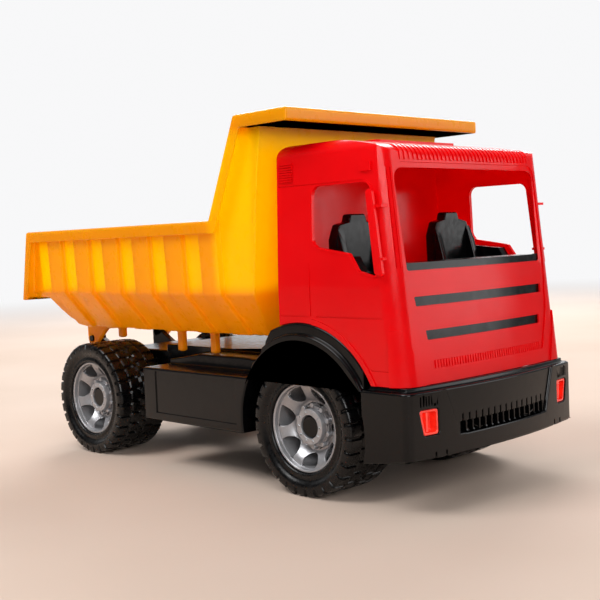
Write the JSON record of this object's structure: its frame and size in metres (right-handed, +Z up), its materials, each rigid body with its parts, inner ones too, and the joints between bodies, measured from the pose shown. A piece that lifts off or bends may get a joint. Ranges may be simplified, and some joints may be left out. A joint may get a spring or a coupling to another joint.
{
  "type": "toy dump truck",
  "caption": "Sandpit toy dump truck with a moulded chassis and cab, a tipping ribbed bed hinged at the rear, and freely turning wheels.",
  "frame": {"origin": "on the ground under the middle of the truck: half way between the bumper's front and the bed's rear end, on the middle plane", "axes": "+X forward along the truck, +Y to its left, +Z up"},
  "size_m": [0.51, 0.241, 0.3017],
  "materials": {
    "black_plastic": "gloss moulded polypropylene",
    "red_plastic": "gloss moulded polypropylene",
    "yellow_plastic": "slightly translucent satin polypropylene",
    "tyre_black": "satin blow-moulded polyethylene",
    "rim_silver": "satin silver-pigmented plastic",
    "axle_steel": "bright drawn wire",
    "screw_steel": "zinc plated"
  },
  "bodies": {
    "truck_frame": {"chassis": "black_plastic", "front_bumper": "black_plastic", "headlight_left": "red_plastic", "headlight_right": "red_plastic", "cab_shell": "red_plastic", "cab_interior": "black_plastic", "seat_left": "black_plastic", "seat_right": "black_plastic", "front_axle": "axle_steel", "rear_axle": "axle_steel", "axle_cap_front_left": "black_plastic", "axle_cap_front_right": "black_plastic", "axle_cap_rear_left": "black_plastic", "axle_cap_rear_right": "black_plastic", "hinge_pin_left": "black_plastic", "hinge_pin_right": "black_plastic", "cab_screws": "screw_steel", "bumper_screws": "screw_steel"},
    "bed": {"dump_bed": "yellow_plastic"},
    "wheel_front_left": {"tyre_front_left": "tyre_black", "rim_front_left": "rim_silver"},
    "wheel_front_right": {"tyre_front_right": "tyre_black", "rim_front_right": "rim_silver"},
    "wheel_rear_left": {"tyre_rear_left": "tyre_black", "rim_rear_left": "rim_silver"},
    "wheel_rear_right": {"tyre_rear_right": "tyre_black", "rim_rear_right": "rim_silver"}
  },
  "joints": [
    {"name": "bed_tilt", "type": "hinge", "parent": "truck_frame", "child": "bed", "pos_m": [-0.239, 0, 0.1045], "axis": [0, -1, 0], "range_deg": [0, 50]},
    {"name": "wheel_front_left_spin", "type": "hinge", "parent": "truck_frame", "child": "wheel_front_left", "pos_m": [0.135, 0.0804, 0.054], "axis": [0, 1, 0], "continuous": true},
    {"name": "wheel_front_right_spin", "type": "hinge", "parent": "truck_frame", "child": "wheel_front_right", "pos_m": [0.135, -0.0804, 0.054], "axis": [0, 1, 0], "continuous": true},
    {"name": "wheel_rear_left_spin", "type": "hinge", "parent": "truck_frame", "child": "wheel_rear_left", "pos_m": [-0.16, 0.0804, 0.054], "axis": [0, 1, 0], "continuous": true},
    {"name": "wheel_rear_right_spin", "type": "hinge", "parent": "truck_frame", "child": "wheel_rear_right", "pos_m": [-0.16, -0.0804, 0.054], "axis": [0, 1, 0], "continuous": true}
  ]
}
